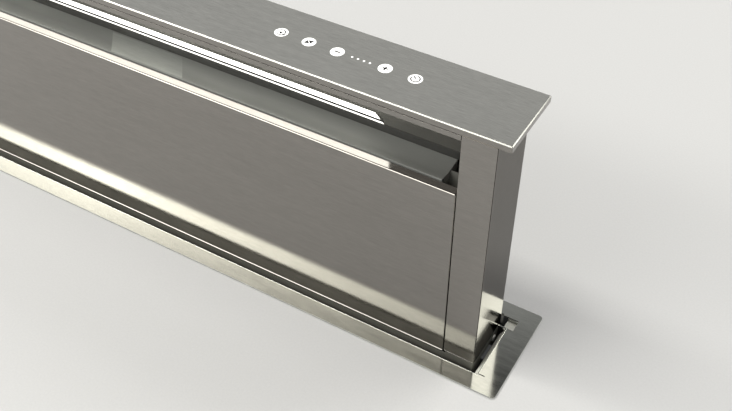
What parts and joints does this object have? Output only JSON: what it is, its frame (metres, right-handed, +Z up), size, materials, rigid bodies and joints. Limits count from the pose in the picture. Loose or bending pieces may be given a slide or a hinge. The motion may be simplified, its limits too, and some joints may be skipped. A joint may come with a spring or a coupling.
{
  "type": "downdraft vent",
  "caption": "Worktop downdraft vent: stainless tower with lit intake slot and touch controls that rises from a flange on lead screws, over a housing with blower and duct collar.",
  "frame": {"origin": "middle of the flange, on the worktop's surface (the underside of the flange's gasket)", "axes": "+Z up, -Y towards the cook, +X to the cook's right; the tower is raised at rest"},
  "size_m": [0.88, 0.3674, 1.0018],
  "materials": {
    "stainless": "brushed, fine grain along the tower",
    "inner_steel": "brushed, darker, behind the front",
    "galvanised": "galvanised sheet",
    "rail_aluminium": "drawn profile",
    "filter_aluminium": "expanded mesh",
    "screw_steel": "turned",
    "fastener_steel": "bright zinc",
    "motor_steel": "black lacquer",
    "nut_brass": "turned",
    "black_rubber": "matt",
    "black_plastic": "moulded, matt",
    "grey_plastic": "moulded, matt",
    "white_plastic": "moulded, low sheen",
    "circuit_board": "solder resist",
    "light_diffuser": "opal, lit",
    "touch_light": "opal, lit"
  },
  "bodies": {
    "housing": {"worktop_flange": "stainless", "flange_gasket": "black_rubber", "corner_ledges": "stainless", "wiper_seals": "black_rubber", "housing_front": "galvanised", "housing_back": "galvanised", "housing_end_left": "galvanised", "housing_end_right": "galvanised", "housing_floor": "galvanised", "service_cover": "galvanised", "guide_rails": "rail_aluminium", "lift_base_plate": "galvanised", "screw_bearings": "grey_plastic", "lift_motor": "motor_steel", "motor_bracket": "galvanised", "lift_belt": "black_rubber", "worktop_clamps": "galvanised", "floor_brackets": "galvanised", "housing_screws": "fastener_steel", "blower_box": "galvanised", "blower_cover": "galvanised", "blower_volute": "grey_plastic", "inlet_ring": "grey_plastic", "blower_motor": "motor_steel", "outlet_collar": "grey_plastic", "flap_pin": "fastener_steel", "electronics_box": "galvanised", "electronics_cover": "galvanised", "control_board": "circuit_board", "cable_gland": "black_plastic"},
    "tower": {"cap_plate": "stainless", "cap_base": "inner_steel", "touch_board": "circuit_board", "touch_discs": "touch_light", "speed_dots": "touch_light", "end_post_left": "stainless", "end_post_right": "stainless", "tower_back": "stainless", "valance": "stainless", "led_soffit": "inner_steel", "led_diffuser": "light_diffuser", "led_board": "circuit_board", "intake_scoop": "stainless", "inner_column_left": "galvanised", "inner_column_right": "galvanised", "cross_rails": "galvanised", "lift_nuts": "nut_brass", "slide_shoes": "white_plastic", "grease_filters": "filter_aluminium", "filter_rails": "galvanised", "panel_catches": "black_plastic", "hinge_pins": "fastener_steel"},
    "panel": {"front_panel": "stainless", "panel_stiffener": "galvanised"},
    "screw_left": {"lift_screw_left": "screw_steel"},
    "screw_right": {"lift_screw_right": "screw_steel"},
    "drive": {"drive_pulley": "screw_steel"},
    "fan": {"impeller": "black_plastic"},
    "flap_front": {"flap_front": "black_plastic"},
    "flap_rear": {"flap_rear": "black_plastic"}
  },
  "joints": [
    {"name": "tower_lift", "type": "slide", "parent": "housing", "child": "tower", "axis": [0, 0, 1], "range_m": [-0.2925, 0]},
    {"name": "panel_tilt", "type": "hinge", "parent": "tower", "child": "panel", "pos_m": [0, -0.0255, 0.006], "axis": [1, 0, 0], "range_deg": [0, 30]},
    {"name": "screw_left_spin", "type": "hinge", "parent": "housing", "child": "screw_left", "pos_m": [-0.3838, 0.00235, -0.4], "axis": [0, 0, 1], "range_deg": [-10540, 10]},
    {"name": "screw_right_spin", "type": "hinge", "parent": "housing", "child": "screw_right", "pos_m": [0.3838, 0.00235, -0.4], "axis": [0, 0, 1], "range_deg": [-10540, 10]},
    {"name": "drive_spin", "type": "hinge", "parent": "housing", "child": "drive", "pos_m": [0.06, -0.01585, -0.42], "axis": [0, 0, 1], "range_deg": [-10540, 10]},
    {"name": "fan_spin", "type": "hinge", "parent": "housing", "child": "fan", "pos_m": [0, 0.087, -0.5592], "axis": [0, 1, 0], "continuous": true},
    {"name": "flap_front_swing", "type": "hinge", "parent": "housing", "child": "flap_front", "pos_m": [0.1948, 0.1458, -0.5452], "axis": [0, 0, 1], "range_deg": [0, 75], "stiffness_Nm_per_rad": 0.01},
    {"name": "flap_rear_swing", "type": "hinge", "parent": "housing", "child": "flap_rear", "pos_m": [0.1948, 0.1458, -0.5452], "axis": [0, 0, 1], "range_deg": [-75, 0], "stiffness_Nm_per_rad": 0.01}
  ],
  "couplings": [
    {"joint": "screw_left_spin", "follows": "tower_lift", "rad_per_m": 628.32},
    {"joint": "screw_right_spin", "follows": "tower_lift", "rad_per_m": 628.32},
    {"joint": "drive_spin", "follows": "tower_lift", "rad_per_m": 628.32}
  ]
}
